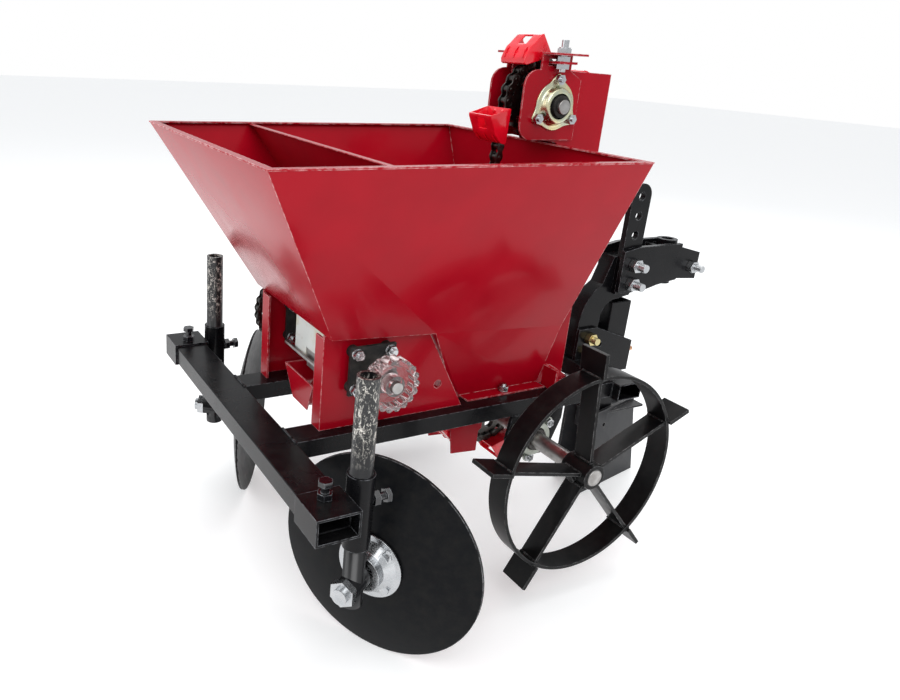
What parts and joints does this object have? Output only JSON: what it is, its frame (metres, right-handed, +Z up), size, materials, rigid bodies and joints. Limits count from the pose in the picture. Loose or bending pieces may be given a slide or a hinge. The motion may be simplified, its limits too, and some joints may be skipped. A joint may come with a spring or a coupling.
{
  "type": "single-row planter",
  "caption": "Single-row tuber planter with cup-chain elevator, fertiliser metering unit, cleated drive wheels, furrow opener, covering discs and a swivel hitch.",
  "frame": {"origin": "on the ground under the middle of the whole machine", "axes": "+X is the direction of travel, towards the hitch; +Y is left; +Z is up"},
  "size_m": [0.9, 0.686, 0.7808],
  "materials": {
    "bare_steel": "satin",
    "black_paint": "semi-gloss, scratched",
    "black_plastic": "satin",
    "clear_plastic": "clear",
    "cup_plastic": "gloss",
    "dark_steel": "oiled",
    "opener_grey": "satin",
    "red_paint": "gloss",
    "white_plastic": "satin",
    "yellow_zinc": "yellow zinc",
    "zinc_plate": "bright zinc"
  },
  "bodies": {
    "frame": {"side_bar_right": "black_paint", "side_bar_left": "black_paint", "rear_tool_bar": "black_paint", "front_crossbar": "black_paint", "hopper_shell": "red_paint", "hopper_divider": "red_paint", "hopper_feet": "red_paint", "hopper_fasteners": "zinc_plate", "metering_cheek_right": "red_paint", "metering_cheek_left": "red_paint", "metering_body": "white_plastic", "metering_gate": "bare_steel", "metering_bearings": "black_plastic", "fertiliser_chute": "red_paint", "fertiliser_chain": "dark_steel", "head_cheeks": "red_paint", "head_bearing_flanges": "yellow_zinc", "head_bearing_inserts": "dark_steel", "head_bolts": "zinc_plate", "chain_rising": "dark_steel", "chain_over_head": "dark_steel", "chain_falling": "dark_steel", "chain_under_foot": "dark_steel", "seed_cups": "cup_plastic", "seed_tube": "red_paint", "seed_throat": "red_paint", "axle_hangers": "black_paint", "axle_bearings": "yellow_zinc", "leg_bracket": "black_paint", "leg_screws": "yellow_zinc", "hitch_arm": "black_paint", "hitch_mast": "black_paint", "hitch_head": "black_paint", "hitch_bolts": "zinc_plate", "drawbar_bolt": "zinc_plate"},
    "ground_wheels": {"wheel_axle": "bare_steel", "wheel_rim_right": "black_paint", "wheel_spider_right": "black_paint", "wheel_rim_left": "black_paint", "wheel_spider_left": "black_paint", "foot_sprocket": "dark_steel", "axle_sprocket": "dark_steel"},
    "head_rotor": {"head_shaft": "bare_steel", "head_sprocket": "dark_steel"},
    "metering_rotor": {"metering_shaft": "bare_steel", "metering_roller": "white_plastic", "metering_sprocket": "dark_steel"},
    "rate_control": {"rate_knob": "clear_plastic"},
    "clamp_right": {"clamp_right": "black_paint", "clamp_screws_right": "black_paint"},
    "shank_right": {"shank_right": "black_paint"},
    "disc_right": {"disc_hub_right": "zinc_plate", "disc_right": "opener_grey"},
    "clamp_left": {"clamp_left": "black_paint", "clamp_screws_left": "black_paint"},
    "shank_left": {"shank_left": "black_paint"},
    "disc_left": {"disc_hub_left": "zinc_plate", "disc_left": "opener_grey"},
    "opener": {"opener_leg": "black_paint", "opener_shoe": "opener_grey"}
  },
  "joints": [
    {"name": "axle_spin", "type": "hinge", "parent": "frame", "child": "ground_wheels", "pos_m": [0.04, -0.013, 0.202], "axis": [0, 1, 0], "continuous": true},
    {"name": "head_spin", "type": "hinge", "parent": "frame", "child": "head_rotor", "pos_m": [0.06, -0.013, 0.68577], "axis": [0, 1, 0], "continuous": true},
    {"name": "metering_spin", "type": "hinge", "parent": "frame", "child": "metering_rotor", "pos_m": [-0.249, 0, 0.351], "axis": [0, 1, 0], "continuous": true},
    {"name": "rate_knob_turn", "type": "hinge", "parent": "metering_rotor", "child": "rate_control", "pos_m": [-0.249, -0.17, 0.351], "axis": [0, 1, 0], "range_deg": [0, 270]},
    {"name": "clamp_right_slide", "type": "slide", "parent": "frame", "child": "clamp_right", "axis": [0, 1, 0], "range_m": [0, 0.01]},
    {"name": "shank_right_height", "type": "slide", "parent": "clamp_right", "child": "shank_right", "axis": [0, 0, 1], "range_m": [-0.06, 0]},
    {"name": "disc_right_spin", "type": "hinge", "parent": "shank_right", "child": "disc_right", "pos_m": [-0.337, -0.258, 0.14], "axis": [0.8526, 0.5225, 0], "continuous": true},
    {"name": "clamp_left_slide", "type": "slide", "parent": "frame", "child": "clamp_left", "axis": [0, -1, 0], "range_m": [0, 0.01]},
    {"name": "shank_left_height", "type": "slide", "parent": "clamp_left", "child": "shank_left", "axis": [0, 0, 1], "range_m": [-0.06, 0]},
    {"name": "disc_left_spin", "type": "hinge", "parent": "shank_left", "child": "disc_left", "pos_m": [-0.337, 0.258, 0.14], "axis": [0.8526, -0.5225, 0], "continuous": true},
    {"name": "opener_depth", "type": "slide", "parent": "frame", "child": "opener", "axis": [0, 0, 1], "range_m": [-0.05, 0.005]}
  ],
  "couplings": [
    {"joint": "head_spin", "follows": "axle_spin", "ratio": 1},
    {"joint": "metering_spin", "follows": "axle_spin", "ratio": 0.5}
  ]
}
